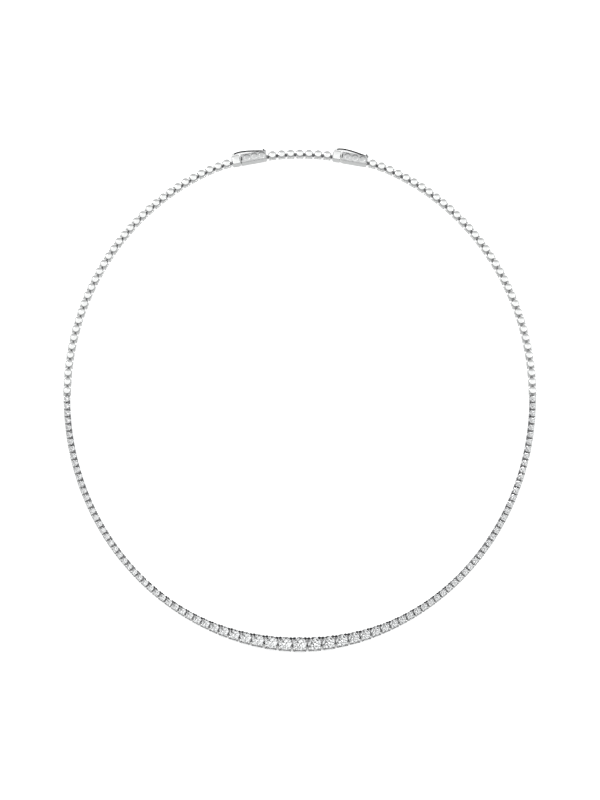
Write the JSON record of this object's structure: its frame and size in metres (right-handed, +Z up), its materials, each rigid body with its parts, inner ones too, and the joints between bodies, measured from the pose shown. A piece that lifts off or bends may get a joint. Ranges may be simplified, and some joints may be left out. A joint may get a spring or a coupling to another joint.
{
  "type": "riviere necklace",
  "caption": "Necklace of graduated round claw-set stones pinned link to link, plain polished links behind, with box clasps, safety latches and a removable extension.",
  "frame": {"origin": "centre of the bounding box, on the surface the necklace lies on", "axes": "+Z up, stones facing up; -Y towards the centre stone, +Y towards the clasps; +X to the right of someone looking along +Y"},
  "size_m": [0.1282, 0.143, 0.0029],
  "materials": {
    "white_gold": "polished",
    "diamond": "faceted and polished"
  },
  "bodies": {
    "necklace": {"setting_centre": "white_gold", "setting_left_1": "white_gold", "setting_left_2": "white_gold", "setting_left_3": "white_gold", "setting_left_4": "white_gold", "setting_left_5": "white_gold", "setting_left_6": "white_gold", "setting_left_7": "white_gold", "setting_left_8": "white_gold", "setting_left_9": "white_gold", "setting_right_1": "white_gold", "setting_right_2": "white_gold", "setting_right_3": "white_gold", "setting_right_4": "white_gold", "setting_right_5": "white_gold", "setting_right_6": "white_gold", "setting_right_7": "white_gold", "setting_right_8": "white_gold", "setting_right_9": "white_gold", "left_settings": "white_gold", "right_settings": "white_gold", "left_links": "white_gold", "right_links": "white_gold", "extender_links": "white_gold", "left_clasp_tongue": "white_gold", "left_clasp_box": "white_gold", "right_clasp_tongue": "white_gold", "right_clasp_box": "white_gold", "stone_centre": "diamond", "stone_left_1": "diamond", "stone_left_2": "diamond", "stone_left_3": "diamond", "stone_left_4": "diamond", "stone_left_5": "diamond", "stone_left_6": "diamond", "stone_left_7": "diamond", "stone_left_8": "diamond", "stone_left_9": "diamond", "stone_right_1": "diamond", "stone_right_2": "diamond", "stone_right_3": "diamond", "stone_right_4": "diamond", "stone_right_5": "diamond", "stone_right_6": "diamond", "stone_right_7": "diamond", "stone_right_8": "diamond", "stone_right_9": "diamond", "left_stones": "diamond", "right_stones": "diamond"},
    "left_latch": {"left_safety_latch": "white_gold"},
    "right_latch": {"right_safety_latch": "white_gold"}
  },
  "joints": [
    {"name": "left_latch_hinge", "type": "hinge", "parent": "necklace", "child": "left_latch", "pos_m": [-0.01859, 0.06938, 0.0013], "axis": [0, 0, 1], "range_deg": [0, 110]},
    {"name": "right_latch_hinge", "type": "hinge", "parent": "necklace", "child": "right_latch", "pos_m": [0.01003, 0.07102, 0.0013], "axis": [0, 0, 1], "range_deg": [0, 110]}
  ]
}
